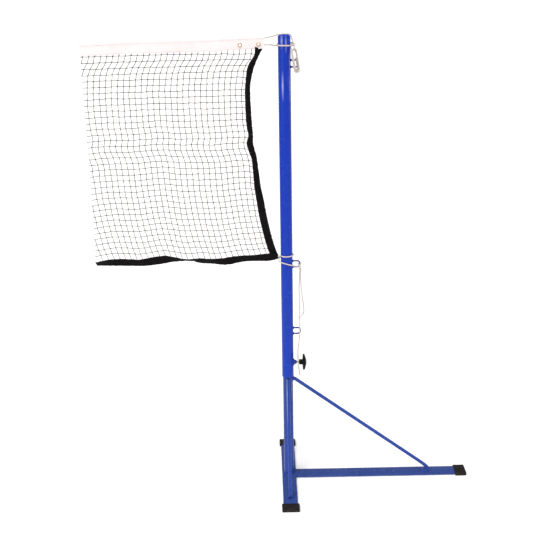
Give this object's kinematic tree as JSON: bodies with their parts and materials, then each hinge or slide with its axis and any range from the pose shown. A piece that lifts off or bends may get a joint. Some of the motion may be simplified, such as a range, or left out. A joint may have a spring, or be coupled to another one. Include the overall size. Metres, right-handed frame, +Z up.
{
  "type": "badminton post with net end",
  "caption": "Free-standing telescopic badminton post on a braced flat-bar base, with a clamp knob, cord rings and the tied-on end of its net.",
  "frame": {"origin": "on the floor below the post's axis, the centre of the overall box", "axes": "+Z up along the post, +X along the long leg, -X towards the net, +Y towards the rear foot"},
  "size_m": [1.272, 0.484, 1.5601],
  "materials": {
    "paint_upper": "gloss royal blue enamel",
    "paint_lower": "gloss royal blue enamel, a little duller",
    "paint_ring": "dark blue enamel over welded wire",
    "rubber_black": "dull moulded rubber",
    "plastic_black": "satin moulded plastic",
    "steel_zinc": "zinc plated thread",
    "nylon": "natural grey nylon",
    "tape_white": "off-white woven PVC-coated webbing",
    "tape_black": "black woven webbing",
    "twine": "dark brown knotted twine",
    "brass": "worn polished brass",
    "cord": "white braided cord, slightly soiled"
  },
  "bodies": {
    "base": {"lower_post": "paint_lower", "guide_bush": "nylon", "cross_bar": "paint_lower", "leg_bar": "paint_lower", "brace_front": "paint_lower", "brace_rear": "paint_lower", "brace_leg": "paint_lower", "foot_cap_front": "rubber_black", "foot_cap_rear": "rubber_black", "foot_cap_leg": "rubber_black"},
    "mast": {"upper_post": "paint_upper", "post_cap": "paint_upper", "clamp_nut": "paint_lower", "cord_ring_top": "paint_ring", "cord_ring_middle": "paint_ring", "cord_ring_bottom": "paint_ring", "head_tape": "tape_white", "net_mesh": "twine", "side_tape": "tape_black", "bottom_tape": "tape_black", "eyelet_end": "brass", "eyelet_inner": "brass", "top_cord": "cord", "waist_cord": "cord", "top_knot": "cord", "top_hank": "cord", "bottom_cord": "cord", "ring_knot": "cord", "tail_long": "cord", "tail_short": "cord"},
    "clamp_tip": {"clamp_pad": "plastic_black"},
    "knob": {"clamp_stud": "steel_zinc", "clamp_knob": "plastic_black"}
  },
  "joints": [
    {"name": "height_slide", "type": "slide", "parent": "base", "child": "mast", "axis": [0, 0, 1], "range_m": [0, 0.4]},
    {"name": "clamp_travel", "type": "slide", "parent": "mast", "child": "clamp_tip", "axis": [1, 0, 0], "range_m": [0, 0.00375]},
    {"name": "knob_turn", "type": "hinge", "parent": "clamp_tip", "child": "knob", "pos_m": [0.0449, 0, 0.4472], "axis": [1, 0, 0], "range_deg": [0, 1080]}
  ],
  "couplings": [
    {"joint": "clamp_travel", "follows": "knob_turn", "m_per_rad": 0.00019894}
  ]
}
